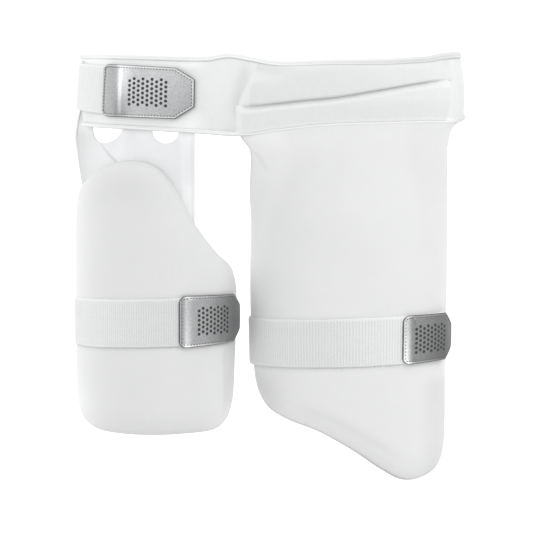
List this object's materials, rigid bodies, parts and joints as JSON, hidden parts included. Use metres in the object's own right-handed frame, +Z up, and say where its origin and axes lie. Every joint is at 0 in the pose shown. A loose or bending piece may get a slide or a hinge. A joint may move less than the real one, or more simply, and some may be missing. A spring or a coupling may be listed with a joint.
{
  "type": "body protector",
  "caption": "Padded sports belt with moulded hip pads, hung with a long outer thigh pad and a shorter inner one, each held by an elastic strap with a silver hook tab.",
  "frame": {"origin": "middle of the waist opening, level with the middle of the belt's front", "axes": "+Z up along the body, -Y to the front, +X to the wearer's left"},
  "size_m": [0.4216, 0.2656, 0.4484],
  "materials": {
    "knit_cover": "fine white stretch knit, soft sheen",
    "brushed_loop": "white brushed loop cloth, matte",
    "satin_binding": "white satin tape, soft gloss",
    "elastic_webbing": "white ribbed woven elastic",
    "hanger_cloth": "thin white knit, matte",
    "silver_tab": "silver grained synthetic leather, satin metallic"
  },
  "bodies": {
    "root": {"waist_band": "brushed_loop", "band_binding_top": "satin_binding", "band_binding_bottom": "satin_binding", "hip_pad_upper": "brushed_loop", "hip_pad_lower": "brushed_loop", "waist_elastic": "elastic_webbing", "waist_tab": "silver_tab", "hanger_panel": "hanger_cloth", "inner_pad": "knit_cover", "inner_strap": "elastic_webbing", "inner_tab": "silver_tab", "outer_pad": "knit_cover", "outer_strap": "elastic_webbing", "outer_tab": "silver_tab"}
  },
  "joints": []
}
